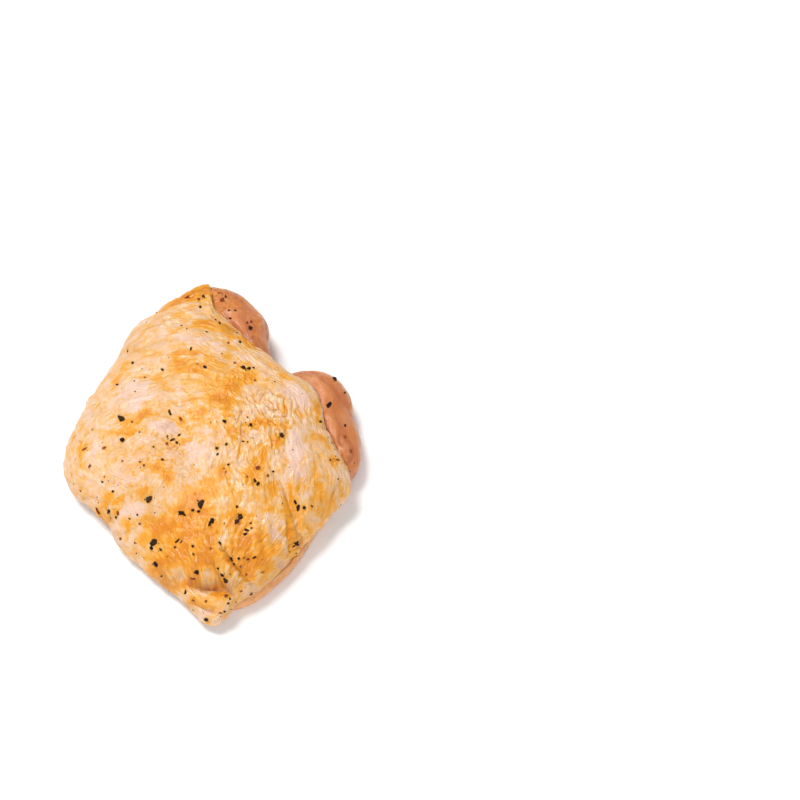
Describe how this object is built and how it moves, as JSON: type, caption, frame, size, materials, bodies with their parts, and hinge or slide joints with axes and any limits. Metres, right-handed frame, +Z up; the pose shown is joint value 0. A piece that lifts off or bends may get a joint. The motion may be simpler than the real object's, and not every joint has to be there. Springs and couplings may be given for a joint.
{
  "type": "marinated chicken steak",
  "caption": "Raw boneless chicken thigh steak, skin side up, glazed with an orange marinade and dotted with cracked pepper.",
  "frame": {"origin": "middle of the piece's plan, at the height of the table that it lies on", "axes": "+Z up out of the skin side; +Y along the piece from its narrow tip to its broad end; +X towards the side where the meat shows past the skin"},
  "size_m": [0.1128, 0.152, 0.028],
  "materials": {
    "meat": "moist raw poultry meat, semi-gloss",
    "skin": "wet wrinkled poultry skin with orange marinade and black pepper"
  },
  "bodies": {
    "root": {"meat": "meat", "skin": "skin"}
  },
  "joints": []
}
